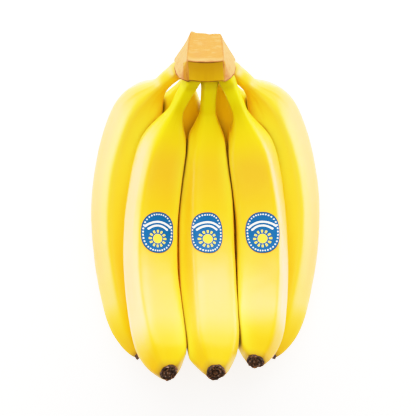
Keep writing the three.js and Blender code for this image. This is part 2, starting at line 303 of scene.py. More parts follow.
class PeelSettings(bpy.types.PropertyGroup):
    ripe: colour("Ripe yellow", "#FCB20C", "Colour of the ripe body")
    deep: colour("Deep yellow", "#F5AB06", "Warmer yellow in patches and on the flanks")
    pale: colour("Pale bloom", "#F7BE14", "Paler yellow along the middle of a side")
    stalk: colour("Stalk green", "#DCC606", "Yellow green of the stalks")
    tip: colour("Tip green", "#8F8420", "Dull green round the flower scar")
    # Painted darkening: a deeper yellow where the lights fall strongest, on the outer sides and the
    # lower half.
    outer: colour("Outer yellow", "#FB9A0A", "Warmer yellow of the sides that face outwards")
    # Painted light: a paler yellow on skin near another fruit, lifting the shade in the gap.
    gap_light: colour("Flank yellow", "#FFE634", "Yellow of the sides that face another fruit")
    # Painted shade: dark brown laid where fruits nearly touch, deepest in the gaps behind the front
    # fruits.
    gap_shade: colour("Rubbed brown", "#4E3006", "Brown of the lines where two fruits touch")
    fleck: colour("Flecks", "#9A6A12", "Small brown freckles")
    roughness: FloatProperty(
        name="Roughness", description="Roughness of the waxy skin", default=0.42,
        min=0.0, max=1.0, subtype="FACTOR",
    )
    waviness: FloatProperty(
        name="Waviness", description="Height of the soft unevenness of the skin",
        default=0.12 * MM, min=0.0, max=1.0 * MM, unit="LENGTH", precision=5,
    )
    steps_along: IntProperty(
        name="Steps along", description="Mesh rows from stalk to tip", default=300, min=20,
    )
    steps_around: IntProperty(
        name="Steps around", description="Mesh columns round the fruit", default=112, min=12,
    )


class CrownSettings(bpy.types.PropertyGroup):
    cut: colour("Cut flesh", "#CB8852", "Pale tan of the cut faces")
    fibre: colour("Cut fibres", "#B8703C", "Darker tan of the fibres in the cut")
    heart: colour("Cut face", "#BE7436", "Orange tan of the face cut from the plant")
    torn: colour("Torn strips", "#BE8024", "Orange brown of the torn strips beside the skin")
    # Also the colour of the painted shadow line under the cut face's lip.
    edge: colour("Browned edge", "#5A300C", "Brown of the dried cut edges")
    skin: colour("Crown skin", "#D6A200", "Golden skin of the crown, low down")
    # Painted shade: the crown's skin darkens towards its top, under the cut face's lip; its darker
    # streaks are its own.
    shaded_skin: colour("Upper crown skin", "#B98B00", "Darker gold of its upper part")
    chip: FloatProperty(
        name="Roughness of the cut", description="Height of the torn fibres on the cut faces",
        default=0.14 * MM, min=0.0, max=2.0 * MM, unit="LENGTH", precision=5,
    )


class ScarSettings(bpy.types.PropertyGroup):
    dark: colour("Dead tissue", "#1C0E07", "Dark brown of the dried flower scar")
    # Partly a painted highlight on the raised rings.
    light: colour("Raised rings", "#855530", "Paler brown on the raised rings")
    # Painted glint: a greyish pale tone on the highest crumbs.
    glint: colour("Worn crumbs", "#A58C7C", "Greyish bleached tone of the highest crumbs")
    ragged: FloatProperty(
        name="Raggedness", description="Height of the torn rim", default=0.8 * MM,
        min=0.0, max=3.0 * MM, unit="LENGTH", precision=5,
    )


class LabelSettings(bpy.types.PropertyGroup):
    field: colour("Label blue", "#005286", "Blue ground of the label")
    sun: colour("Label yellow", "#F2D43A", "Yellow of the sun")
    white: colour("Label white", "#F7F7F2", "White of the arcs and dots")
    rim: colour("Label rim", "#06404A", "Darker blue of the label's cut edge")
    lift: FloatProperty(
        name="Lift", description="Height of the label over the skin", default=0.35 * MM,
        min=0.0, max=1.0 * MM, unit="LENGTH", precision=5,
    )


class StageSettings(bpy.types.PropertyGroup):
    floor: colour("Floor", "#F4F4F1", "Colour of the floor")
    glow: FloatProperty(
        name="Floor glow", description="Light that the floor gives off, like a light table",
        default=0.75, min=0.0,
    )
    key_power: FloatProperty(
        name="Key light", description="Power of the wide light beyond the crown",
        default=41.0, min=0.0, unit="POWER",
    )
    key_tint: colour("Key tint", "#FFF7EE", "Colour of the wide light")
    fill_power: FloatProperty(
        name="Fill light", description="Power of the soft light on the tips' side",
        default=5.0, min=0.0, unit="POWER",
    )
    top_power: FloatProperty(
        name="Top light", description="Power of the soft light overhead",
        default=11.5, min=0.0, unit="POWER",
    )
    side_power: FloatProperty(
        name="Side lights", description="Power of each light at the sides",
        default=1.25, min=0.0, unit="POWER",
    )
    sky: FloatProperty(
        name="Sky", description="Strength of the even white light from all round",
        default=0.01, min=0.0,
    )
    camera_height: FloatProperty(
        name="Camera height", description="Height of the camera above the middle of the hand",
        default=0.9, min=0.1, unit="LENGTH",
    )
    field: FloatProperty(
        name="Field", description="Width of the view at the middle of the hand",
        default=0.2912, min=0.05, unit="LENGTH",
    )


# ------------------------------------------------------------ mesh and node helpers


def smooth(share):
    """A smoothstep: 3 times the square less 2 times the cube, of a share held from 0 to 1."""
    share = np.clip(share, 0.0, 1.0)
    return share * share * (3 - 2 * share)


def bell(distance, reach):
    """A soft falling off: exp(-(distance / reach) squared)."""
    return np.exp(-(distance / reach) ** 2)


def make_mesh(name, points, quads, triangles, attributes=None):
    """A smooth mesh object at the origin from points in millimetres and arrays of corners."""
    mesh = bpy.data.meshes.new(name)
    mesh.vertices.add(len(points))
    mesh.vertices.foreach_set("co", (points * MM).astype(np.float32).ravel())
    mesh.loops.add(quads.size + triangles.size)
    mesh.loops.foreach_set("vertex_index", np.concatenate([quads.ravel(), triangles.ravel()]))
    starts = np.concatenate([
        np.arange(len(quads)) * 4,
        quads.size + np.arange(len(triangles)) * 3,
    ])
    mesh.polygons.add(len(starts))
    mesh.polygons.foreach_set("loop_start", starts)
    mesh.update(calc_edges=True)
    mesh.shade_smooth()
    for key, values in (attributes or {}).items():
        kind = "FLOAT" if values.ndim == 1 else "FLOAT_VECTOR"
        field = "value" if values.ndim == 1 else "vector"
        store = mesh.attributes.new(key, kind, "POINT")
        store.data.foreach_set(field, values.astype(np.float32).ravel())
    piece = bpy.data.objects.new(name, mesh)
    bpy.context.scene.collection.objects.link(piece)
    return piece


def tube_mesh(name, points, attributes):
    """A closed skin from a grid of points, rows along and columns round, with a fan at each end.

    Corner i, j joins i, j+1, then i+1, j+1 and i+1, j, so faces point outwards where the columns
    turn right-handed about the way that the rows go.
    """
    rows, columns = points.shape[:2]
    number = np.arange(rows * columns).reshape(rows, columns)
    beside = np.roll(number, -1, axis=1)
    quads = np.stack([number[:-1], beside[:-1], beside[1:], number[1:]], axis=-1).reshape(-1, 4)
    first, last = rows * columns, rows * columns + 1
    start = np.stack([np.full(columns, first), beside[0], number[0]], axis=-1)
    end = np.stack([np.full(columns, last), number[-1], beside[-1]], axis=-1)
    ends = points[[0, -1]].mean(axis=1)
    everything = np.concatenate([points.reshape(-1, 3), ends])
    stored = {}
    for key, values in attributes.items():
        extra = values[[0, -1]].mean(axis=1)
        flat = values.reshape(rows * columns, *values.shape[2:])
        stored[key] = np.concatenate([flat, extra])
    return make_mesh(name, everything, quads, np.concatenate([start, end]), stored)


def place_piece(piece, material, node):
    """Gives a piece its material and lets it stand for its node."""
    piece.data.materials.append(material)
    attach(piece, "root")
    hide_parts(node)


def add_node(tree, kind, inputs=(), **settings):
    """Adds a node. Its inputs go by name or, in a plain row, by order. One that is a socket is
    linked, and any other is set."""
    node = tree.nodes.new(kind)
    for key, value in settings.items():
        setattr(node, key, value)
    for key, value in inputs.items() if isinstance(inputs, dict) else enumerate(inputs):
        if isinstance(value, bpy.types.NodeSocket):
            tree.links.new(value, node.inputs[key])
        else:
            node.inputs[key].default_value = value
    return node


def new_material(name):
    """An empty material with its principled shader wired to the output."""
    material = bpy.data.materials.new(name)
    material.use_nodes = True
    tree = material.node_tree
    tree.nodes.clear()
    shader = add_node(tree, "ShaderNodeBsdfPrincipled")
    add_node(tree, "ShaderNodeOutputMaterial", {"Surface": shader.outputs["BSDF"]})
    return material, tree, shader


# Settings of a map range node that goes from one value to another as a smoothstep.
SOFT = {"interpolation_type": "SMOOTHSTEP"}


def layered(tree, colour, layers):
    """A colour with others laid over it. Each layer is what it follows, the range in which it
    comes in as a smoothstep, its greatest share and its colour. Without a range, what it
    follows is the share itself."""
    for share, come_in, greatest, over in layers:
        if come_in:
            ends = (share, *come_in, 0.0, greatest)
            share = add_node(tree, "ShaderNodeMapRange", ends, **SOFT).outputs["Result"]
        colour = add_node(
            tree, "ShaderNodeMix", {"Factor": share, 6: colour, 7: over},
            data_type="RGBA", clamp_factor=True,
        ).outputs[2]
    return colour


# ------------------------------------------------------------ the fruits


def neck_share(finger, along):
    """How much of the growth from stalk to body is done: 1 - exp(-(reached ^ sharpness))."""
    start, reach, sharpness = finger["neck"]
    reached = np.maximum(along - start, 0.0) / reach
    return 1 - np.exp(-(reached ** sharpness))


def finger_radius(finger, along):
    """Radius along a fruit: a stalk, a body that is widest at its share of the length and falls
    off with the square of the distance from there, and a blunt power curve at the tip. Inside
    the crown the stalk gets thinner with the square of its depth."""
    length, stalk = finger["length"], finger["stalk"]
    swollen = finger["body"] * (1 - BODY_FALL * (along / length - BODY_WIDEST) ** 2)
    flare = STALK_FLARE * np.exp(-np.maximum(along, 0.0) / FLARE_REACH)
    grown = stalk + flare + (swollen - stalk) * neck_share(finger, along)
    tapered = np.clip(1 - (length - along) / finger["taper"], 0.0, 1.0)
    radius = grown - (grown - TIP_RADIUS) * tapered ** TIP_BLUNTNESS
    return radius * (1 - STALK_SHRINK * sunk_share(along))


def sunk_share(along):
    """How deep in the crown a place on the stalk is: the square of its share of the rooting."""
    return (np.maximum(-along, 0.0) / STALK_ROOTING) ** 2


def ridged(around):
    """Reach of the skin in a direction: the inverse p-norm of (cosine to a side / its distance)."""
    total = sum(
        (np.maximum(np.cos(np.radians(around - side)), 0.0) / distance) ** RIDGE_SHARPNESS
        for side, distance in SIDES
    )
    return total ** (-1 / RIDGE_SHARPNESS)


def finger_turn(finger, along):
    """Turn of the middle line in radians: an even bend with a sine, plus the neck's smoothstep."""
    share = along / finger["length"]
    even = share + BEND_EVENNESS / (2 * math.pi) * np.sin(2 * math.pi * share)
    at_neck = smooth((along - SHOULDER_START) / SHOULDER_REACH)
    return np.radians(finger["bend"] * even + finger["shoulder"] * at_neck)


def finger_line(finger, along):
    """Middle line in the fruit's own plane, by summing its tangents: height y and depth z. Past
    either end it runs straight on."""
    fine = np.linspace(0.0, finger["length"], LINE_STEPS + 1)
    middle = (fine[1:] + fine[:-1]) / 2
    turn = finger_turn(finger, middle)
    step = np.diff(fine)
    y = np.concatenate([[0.0], np.cumsum(-np.cos(turn) * step)])
    z = np.concatenate([[0.0], np.cumsum(np.sin(turn) * step)])
    before = np.minimum(along, 0.0)
    after = np.maximum(along - finger["length"], 0.0)
    last = math.radians(finger["bend"] + finger["shoulder"])
    y_on = np.interp(along, fine, y) - before - after * math.cos(last)
    z_on = np.interp(along, fine, z) + after * math.sin(last)
    return y_on, z_on


def rotation(about, degrees):
    """Rotation matrix about the X, Y or Z axis."""
    cosine, sine = math.cos(math.radians(degrees)), math.sin(math.radians(degrees))
    first, second = {"X": (1, 2), "Y": (2, 0), "Z": (0, 1)}[about]
    matrix = np.eye(3)
    matrix[first, first] = matrix[second, second] = cosine
    matrix[first, second], matrix[second, first] = -sine, sine
    return matrix


def around_line(finger, along, around, distance):
    """Points at a distance from the middle line, with angle 0 on the hollow side.

    The fruit's own axes are rolled about Y, dipped about X and leaned about Z. Near the crown the
    stalk is lowered by a smoothstep, so that it comes out from under the crown's edge, and
    inside it the points move towards the crown's own axis, with the square of their depth.
    """
    y, z = finger_line(finger, along)
    turn = finger_turn(finger, np.clip(along, 0.0, finger["length"]))
    offset = finger["offset"] * (1 - neck_share(finger, along))
    out = distance * np.cos(np.radians(around)) + offset
    own = np.stack(np.broadcast_arrays(
        -distance * np.sin(np.radians(around)),
        y + out * np.sin(turn),
        z + out * np.cos(turn),
    ), axis=-1)
    turned = rotation("Z", -finger["lean"]) @ rotation("X", finger["dip"])
    turned = turned @ rotation("Y", finger["roll"])
    root = np.array(finger["root"])
    crown_turn = rotation("X", CROWN_DIP)
    inward = (root - np.array(CROWN_BASE)) @ crown_turn * (-1, 0, -1)
    inward = crown_turn @ (inward / np.linalg.norm(inward))
    sunk = STALK_DIVE * np.broadcast_to(sunk_share(along), own.shape[:-1])[..., None]
    near = smooth((SINK_REACH - along) / SINK_REACH)
    lowered = np.broadcast_to(near, own.shape[:-1])[..., None] * (0.0, 0.0, -finger["sink"])
    return own @ turned.T + root + sunk * inward + lowered + np.array(HAND_AT)


def skin_distance(finger, along, skin):
    """Distance of the skin from the middle line: the radius times the reach of the flat-sided
    outline, which on the stalk is drawn part of the way to a circle."""
    ridges = 1 - STALK_ROUNDING * (1 - neck_share(finger, along))
    return finger_radius(finger, along) * (1 + ridges * (ridged(skin) - 1))


def ridge_line(skin):
    """How near a direction is to the nearest ridge: the sum of exp(-(distance / width) squared)."""
    apart = [(skin - ridge + 180) % 360 - 180 for ridge in RIDGES]
    return sum(bell(np.radians(angle) * USUAL_RADIUS, RIDGE_WIDTH) for angle in apart)


def peel_relief(name, finger, along, skin):
    """Soft unevenness: sines that run along and round, a few shallow dents that fall off as a
    bell, and fine creases down the neck and stalk. Unit height."""
    random = np.random.default_rng(sorted(FINGERS).index(name) + PEEL_SEED)
    relief = np.zeros(np.broadcast(along, skin).shape)
    for length, turns, height in PEEL_WAVES:
        phase, drift = random.uniform(0, 2 * math.pi, 2)
        wave = np.sin(2 * math.pi * along / length + phase)
        relief = relief + height * wave * np.cos(np.radians(turns * skin) + drift)
    first, last = DENTS_KEEP_OFF
    for _ in range(DENTS):
        place, side = random.uniform(first, finger["length"] - last), random.uniform(-180, 180)
        size, depth = random.uniform(*DENT_SIZES), random.uniform(*DENT_DEPTHS)
        sideways = np.radians((skin - side + 180) % 360 - 180) * USUAL_RADIUS
        relief = relief - depth * np.exp(-((along - place) ** 2 + sideways ** 2) / size ** 2)
    neck = bell(along - CREASES_AT, CREASES_REACH)
    for turns, height in NECK_CREASES:
        phase = random.uniform(0, 2 * math.pi)
        bend = 0.6 * np.sin(along / 9 + phase)
        relief = relief + neck * height * np.sin(np.radians(turns * skin) + phase + bend)
    return relief


def slanted(finger, along, around, radius):
    """Lengths along a fruit, drawn back on the hollow side near its end, with a smoothstep, so
    that its end faces a little to that side."""
    slant = TIP_SLANT * smooth(1 - (finger["length"] - along) / SLANT_REACH)
    return along - slant * radius * np.cos(np.radians(around))


def over_skin(name, finger, settings, along, around, lift=0.0):
    """Points on the finished skin, or a little above it: the relief is added to the distance
    from the middle line and fades out evenly towards both ends, and nothing is under the floor."""
    skin = around + finger["twist"]
    fade = np.clip(along / RELIEF_STARTS_OVER, 0, 1)
    fade = fade * np.clip((finger["length"] - along) / RELIEF_ENDS_OVER, 0, 1)
    relief = settings.waviness * peel_relief(name, finger, along, skin)
    distance = skin_distance(finger, along, skin) + fade * relief / MM + lift
    points = around_line(finger, slanted(finger, along, around, distance), around, distance)
    points[..., 2] = np.maximum(points[..., 2], 0.0)
    return points


def gap_beside(name, points):
    """Distance from points to the nearest other fruit: from its middle line, less its radius."""
    gap = np.full(points.shape[:-1], np.inf)
    for other, finger in FINGERS.items():
        if other != name:
            along = np.linspace(0, finger["length"], GAP_STEPS)
            middle = around_line(finger, along, 0.0, 0.0)
            apart = np.linalg.norm(points[..., None, :] - middle, axis=-1)
            gap = np.minimum(gap, (apart - finger_radius(finger, along)).min(axis=-1))
    return np.maximum(gap, 0.0)


def outwards(finger, points, along):
    """How deep a yellow is painted on the skin: a smoothstep of how far it faces away from the
    middle of the hand and one of how far down its lower half lies, painted darkening where the
    lights fall strongest, or a bell at the shoulder of a fruit with a green stalk, whichever is
    most. It goes again at the end of a dull fruit."""
    middle = around_line(finger, along[:, 0], 0.0, 0.0)[:, None]
    arm = points - middle
    arm = arm / np.linalg.norm(arm, axis=-1, keepdims=True)
    side = -math.copysign(1, finger["lean"]) if abs(finger["lean"]) > SIDE_LEAN else 0.0
    share = along / finger["length"]
    away = smooth((side * arm[..., 0] - OUTER_FROM) / (OUTER_FULL - OUTER_FROM))
    low = LOW_SHARE * smooth((share - LOW_FROM) / (LOW_FULL - LOW_FROM))
    low = low * np.clip(1 + 2 * side * arm[..., 0], 0.0, 1.0)
    upper = finger["green"] * UPPER_SHARE * bell(along - UPPER_PLACE, UPPER_REACH)
    end = smooth((share - END_FROM) / (END_FULL - END_FROM))
    return np.maximum(away, np.maximum(low, upper)) * (1 - finger["dull"] * end)


def fruit_look(finger, along, around, points, gap, left):
    """What the skin's colours and gloss follow at each point. The green fades as exp(-(length /
    reach) to a power), the painted light near a neighbour is a bell of the gap, and the painted
    shade where two fruits touch is one of what is left of the gap; the crown's painted shadow on
    the stalk is taken where it is darker. The gloss is less on green skin, at the end and on the
    upper body."""
    full = np.broadcast_to(along, gap.shape)
    skin = np.broadcast_to(around + finger["twist"], gap.shape)
    across = USUAL_RADIUS * np.cos(np.radians(skin))
    forward = USUAL_RADIUS * np.sin(np.radians(skin))
    to_tip = finger["length"] - full
    body = neck_share(finger, full)
    below_crown = np.maximum(full, 0.0)
    green = finger["green"] * np.exp(-(below_crown / finger["green_reach"]) ** GREEN_SHARPNESS)
    # Painted light: paler yellow near a neighbour, where the gap is shaded.
    near = bell(gap, finger["facing"])
    inner = np.radians(around - math.copysign(HIDDEN_SIDE, finger["root"][0]))
    # Painted shade reaches further round the hidden inner side of a back fruit.
    gap_shade = GAP_SHADE_REACH + finger["hidden"] * np.maximum(np.cos(inner), 0.0) ** 2
    # Painted shadow of the crown on the top of the stalk.
    shade = CROWN_SHADE * bell(below_crown, CROWN_SHADE_REACH)
    # Deeper yellow painted where the lights fall strongest.
    outer = outwards(finger, points, along)
    shine = smooth((full / finger["length"] - SHINE_FROM) / (SHINE_FULL - SHINE_FROM))
    shine = 1 - finger["green"] * UPPER_DULLNESS * (1 - np.maximum(shine, outer))
    dulled = finger["dull"] * np.clip(1 - (to_tip - DULL_FROM) / DULL_REACH, 0.0, 1.0)
    return {
        "grain": np.stack([across, forward, full], axis=-1),
        "ridge": ridge_line(skin) * body,
        "green": green,
        "gloss": finger["gloss"] * (1 - green) * (1 - dulled) * shine,
        "outwards": outer * (1 - near) * body,
        "facing": near * body,
        "painted_shade": np.maximum(bell(left, gap_shade), shade),
        "to_tip": to_tip,
    }


def build_fruit(name, finger, settings, material):
    """One fruit's skin: rows from inside the crown to the tip, columns round it. Where it lies
    beside another fruit it swells by up to half the gap, times a bell of the gap."""
    along = np.linspace(-STALK_ROOTING, finger["length"], settings.steps_along)[:, None]
    around = np.linspace(0, 360, settings.steps_around, endpoint=False)[None, :]
    gap = gap_beside(name, over_skin(name, finger, settings, along, around))
    swell = np.clip((gap - PRESSED_GAP) / 2, 0.0, PRESSED_SWELL)
    swell = swell * bell(gap, PRESSED_REACH) * neck_share(finger, along)
    points = over_skin(name, finger, settings, along, around, swell)
    look = fruit_look(finger, along, around, points, gap, gap - 2 * swell)
    piece = tube_mesh(f"banana_skin_{name}", points, look)
    place_piece(piece, material, f"banana_{name}")


def peel_material(settings):
    """Ripe banana peel: a waxy skin, so a soft broad gloss over a strong yellow, with lengthwise
    fibres 0.6 mm apart, streaks of 2 mm, cloudy patches 30 mm across and sparse freckles. Its
    pores are too fine to show, so they are drawn 1.1 mm apart."""
    material, tree, shader = new_material("ripe banana peel, waxy")
    grain = add_node(tree, "ShaderNodeAttribute", attribute_name="grain").outputs["Vector"]
    ridge, green, near, outer, gloss, painted_shade, to_tip = (
        add_node(tree, "ShaderNodeAttribute", attribute_name=name).outputs["Fac"]
        for name in ("ridge", "green", "facing", "outwards", "gloss", "painted_shade", "to_tip")
    )
    place = add_node(tree, "ShaderNodeTexCoord").outputs["Object"]
    long_grain = add_node(
        tree, "ShaderNodeMapping", {"Vector": grain, "Scale": (1, 1, 0.06)}
    ).outputs["Vector"]

    cloud, streak, fibre, pore = (
        add_node(
            tree, "ShaderNodeTexNoise", {"Vector": where, "Scale": scale, "Detail": detail}
        ).outputs["Fac"]
        for where, scale, detail in (
            (place, 1 / 0.03, 3.0), (long_grain, 0.45, 4.0), (long_grain, 1.6, 3.0),
            (place, 1 / 0.0011, 2.0),
        )
    )
    fleck = add_node(
        tree, "ShaderNodeTexVoronoi", {"Vector": grain, "Scale": 0.16, "Randomness": 1.0}
    ).outputs["Distance"]

    body = layered(tree, settings.ripe, (
        (cloud, (0.4, 0.75), 0.3, settings.deep),
        (streak, (0.5, 0.75), 0.25, settings.pale),
        (ridge, (0.5, 1.0), 0.18, settings.deep),
        # Painted darkening where the lights fall strongest.
        (outer, None, 1.0, settings.outer),
        # Painted light near a neighbour.
        (near, None, 1.0, settings.gap_light),
        (green, None, 1.0, settings.stalk),
        # Painted shade: dark brown in the gaps where fruits nearly touch and under the crown.
        (painted_shade, (0.0, 1.0), 0.9, settings.gap_shade),
        (to_tip, (4.0, 0.0), 0.6, settings.tip),
        (fleck, (0.05, 0.02), 0.3, settings.fleck),
    ))
    height = add_node(tree, "ShaderNodeMath", (fibre, pore), operation="ADD").outputs[0]
    bump = add_node(
        tree, "ShaderNodeBump", {"Height": height, "Strength": 0.16, "Distance": 0.0004}
    ).outputs["Normal"]
    tree.links.new(body, shader.inputs["Base Color"])
    tree.links.new(bump, shader.inputs["Normal"])
    rough = settings.roughness
    for socket, ends in {
        "Roughness": (streak, 0.3, 0.75, rough - 0.05, rough + 0.08),
        "Coat Weight": (gloss, 0.4, 1.0, 0.0, 1.0),
        "Specular IOR Level": (gloss, 0.0, 1.0, 0.06, 0.5),
    }.items():
        value = add_node(tree, "ShaderNodeMapRange", ends, **SOFT).outputs["Result"]
        tree.links.new(value, shader.inputs[socket])
    shader.inputs["IOR"].default_value = 1.45
    shader.inputs["Coat Roughness"].default_value = 0.35
    shader.inputs["Coat IOR"].default_value = 1.5
    shader.inputs["Subsurface Weight"].default_value = 0.1
    shader.inputs["Subsurface Radius"].default_value = (1.0, 0.55, 0.08)
    shader.inputs["Subsurface Scale"].default_value = 0.004
    return material


# ------------------------------------------------------------ the crown


def rounded(values, passes):
    """Values round a closed outline, smoothed by averaging each with its two neighbours."""
    for _ in range(passes):
        values = (np.roll(values, 1, axis=0) + 2 * values + np.roll(values, -1, axis=0)) / 4
    return values


def crown_outlines(columns):
    """Outline of the crown at its base and at its cut face, with a place on a side for each
    column: straight between the corners, then rounded, the front bowed out as a parabola."""
    base = np.array(CROWN_BASE_CORNERS + CROWN_BASE_CORNERS[:1])
    top = np.array(CROWN_TOP_CORNERS + CROWN_TOP_CORNERS[:1])
    lengths = np.linalg.norm(np.diff(base, axis=0), axis=1)
    walked = np.concatenate([[0.0], np.cumsum(lengths)])
    corner = np.interp(np.arange(columns) / columns * walked[-1], walked, np.arange(len(base)))
    bow = FRONT_BOW * np.clip(4 * corner * (1 - corner), 0.0, 1.0)
    outlines = []
    for corners in (base, top):
        across = np.interp(corner, np.arange(len(base)), corners[:, 0])
        front = np.interp(corner, np.arange(len(base)), corners[:, 1]) + bow
        outlines.append(rounded(np.stack([across, front], axis=-1), CORNER_PASSES))
    return corner, outlines


def crown_profile():
    """Rows of the crown from the middle of its underside to the middle of its cut face: the
    share of the outline, the inset from it, the share of the height and the height added. The
    underside bulges with 1 less the cube of that share, and the fillets are quarter circles."""
    arc = np.linspace(0, math.pi / 2, FILLET_ROWS + 2)[1:-1]
    under = np.linspace(INNERMOST_ROW, 1, UNDER_ROWS)
    wall = np.linspace(0, 1, WALL_ROWS)
    over = np.linspace(1, INNERMOST_ROW, CUT_ROWS)
    share = np.concatenate([under, np.ones(FILLET_ROWS + WALL_ROWS + FILLET_ROWS), over])
    inset = np.concatenate([
        np.full(UNDER_ROWS, BASE_FILLET), BASE_FILLET * (1 - np.sin(arc)), np.zeros(WALL_ROWS),
        TOP_FILLET * (1 - np.cos(arc)), np.full(CUT_ROWS, TOP_FILLET),
    ])
    level = np.concatenate([
        np.zeros(UNDER_ROWS + FILLET_ROWS), wall, np.ones(FILLET_ROWS + CUT_ROWS),
    ])
    added = np.concatenate([
        -UNDERSIDE_DEPTH * (1 - under ** 3), BASE_FILLET * (1 - np.cos(arc)),
        BASE_FILLET * (1 - wall) - TOP_FILLET * wall, TOP_FILLET * (np.sin(arc) - 1),
        np.zeros(CUT_ROWS),
    ])
    return [values[:, None] for values in (share, inset, level, added)]


def build_crown(settings, material):
    """The crown: the base's outline goes over into the cut face's in step with the height. Each
    row is drawn in towards the middle by its share and inset. The cut face's front edge stands
    out as a lip and its back edge has a peak and a notch, each a bell, and cut faces get torn
    fibres, a sum of sines of sines. The browned edges and the painted shadow line under the lip
    are bells of the distance from them. Rows run along the crown's height, so columns go the
    other way round."""
    corner, (base, top) = crown_outlines(CROWN_COLUMNS)
    side = np.floor(corner).astype(int)
    skin = rounded(np.isin(side, CROWN_SKIN_SIDES).astype(float), MASK_PASSES)
    front = rounded((side == 0).astype(float), 4 * MASK_PASSES)
    share, inset, level, added = crown_profile()
    low = FRONT_RISE * front
    height = low + (CROWN_HEIGHT - low) * level + added
    upper = np.clip(height / CROWN_HEIGHT, 0.0, 1.0)[..., None]
    outline = base + (top - base) * upper
    middle = outline.mean(axis=1, keepdims=True)
    arm = outline - middle
    arm_length = np.linalg.norm(arm, axis=-1)
    lip = LIP * bell(CROWN_HEIGHT - height, LIP_REACH) * front
    flat = middle + arm * (share * (1 - (inset - lip) / arm_length))[..., None]
    across, forward = flat[..., 0], flat[..., 1]
    at_back = level ** 8 * np.clip(-forward / BACK_EDGE_AT, 0, 1) ** 4
    peak = sum(rise * bell(across - at, reach) for at, reach, rise in (BACK_PEAK, BACK_NOTCH))
    own = np.stack([across, height + at_back * peak, forward], axis=-1)

    random = np.random.default_rng(CROWN_SEED)
    torn = np.zeros(height.shape)
    for size, strength in TORN_FIBRES:
        a, b, c = random.normal(size=(3, 3)) / size * 2 * math.pi / USUAL_DRAW
        torn += strength * np.sin(own @ a + 2 * np.sin(own @ b)) * np.cos(own @ c)
    cut = np.where(level == 1, 1.0, 1 - skin) * (level > 0)
    outward = np.concatenate([arm[..., :1], np.zeros_like(arm[..., :1]), arm[..., 1:]], axis=-1)
    outward /= arm_length[..., None]
    outward = np.where((level == 1)[..., None], np.array([0.0, 1.0, 0.0]), outward)
    own += outward * (torn * cut * settings.chip / MM)[..., None]

    turned = own @ rotation("X", CROWN_DIP).T
    left, right = CROWN_STRIPS
    wedge = np.clip((own[..., 0] - left) / STRIP_EDGE, 0, 1)
    wedge = wedge * np.clip((right - own[..., 0]) / STRIP_EDGE, 0, 1)
    wedge = wedge * np.clip((STRIP_TOP - turned[..., 1]) / STRIP_EDGE, 0, 1)
    wedge = wedge * (forward > 0) * (1 - skin)
    rim = bell(CROWN_HEIGHT - height, RIM_REACH) * (level < 1)
    rim = np.maximum(rim, bell(arm_length * (1 - share), RIM_REACH) * (level == 1))
    rim = rim * np.clip(level + (share < 1), 0, 1) * (added > -1)
    foot = bell(height - low - FOOT_LINE[0], FOOT_LINE[1])
    seam = (1 - np.abs(2 * skin - 1)) * (level < 1)
    brown = np.clip(RIM_BROWN * rim + FOOT_BROWN * foot + SEAM_BROWN * seam, 0.0, 1.0)
    # Painted shadow: a dark line on the front skin just under the cut face's lip.
    lip_shadow = bell(CROWN_HEIGHT - LIP_LINE[0] - height, LIP_LINE[1]) * front
    on_face = np.clip((CUT_FRONT[0] - forward) / CUT_FRONT[1], 0.0, 1.0)
    points = turned + np.array(CROWN_BASE) + np.array(HAND_AT)
    attributes = {
        "own": own * MM,
        "skin": skin * (level < 1),
        "wedge": wedge * (level < 1),
        "top": (level == 1) * on_face,
        "edge": np.clip(brown + lip_shadow, 0.0, 1.0),
    }
    piece = tube_mesh("crown_block", points, attributes)
    place_piece(piece, material, "crown")


